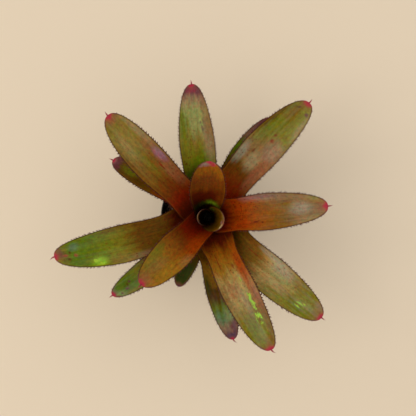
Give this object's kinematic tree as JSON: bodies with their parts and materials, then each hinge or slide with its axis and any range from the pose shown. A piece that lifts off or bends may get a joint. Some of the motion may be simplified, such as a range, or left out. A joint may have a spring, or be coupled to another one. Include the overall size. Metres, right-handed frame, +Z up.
{
  "type": "potted neoregelia bromeliad",
  "caption": "Neoregelia bromeliad in its nursery pot: a rosette of arching, spine-edged strap leaves that clasp a central water cup, rooted in potting mix.",
  "frame": {"origin": "middle of the pot's underside, on the surface it stands on", "axes": "+Z up, along the pot's axis; seen from above, the longest leaf points along -X and the most upright one along +Y"},
  "size_m": [0.3063, 0.3012, 0.1921],
  "materials": {
    "pot_plastic": "satin black moulded plastic",
    "potting_mix": "loose bark and peat with perlite",
    "stem": "dry fibrous stem",
    "young_leaf": "satin, orange-red base to olive blade with a pink tip",
    "old_leaf": "satin, olive green with a magenta tip"
  },
  "bodies": {
    "root": {"pot": "pot_plastic", "potting_mix": "potting_mix", "stem": "stem", "leaf_01": "young_leaf", "leaf_02": "young_leaf", "leaf_03": "young_leaf", "leaf_04": "young_leaf", "leaf_05": "young_leaf", "leaf_06": "young_leaf", "leaf_07": "young_leaf", "leaf_08": "young_leaf", "leaf_09": "old_leaf", "leaf_10": "old_leaf", "leaf_11": "old_leaf", "leaf_12": "old_leaf", "leaf_13": "old_leaf", "leaf_14": "old_leaf", "leaf_15": "old_leaf", "leaf_16": "old_leaf"}
  },
  "joints": []
}
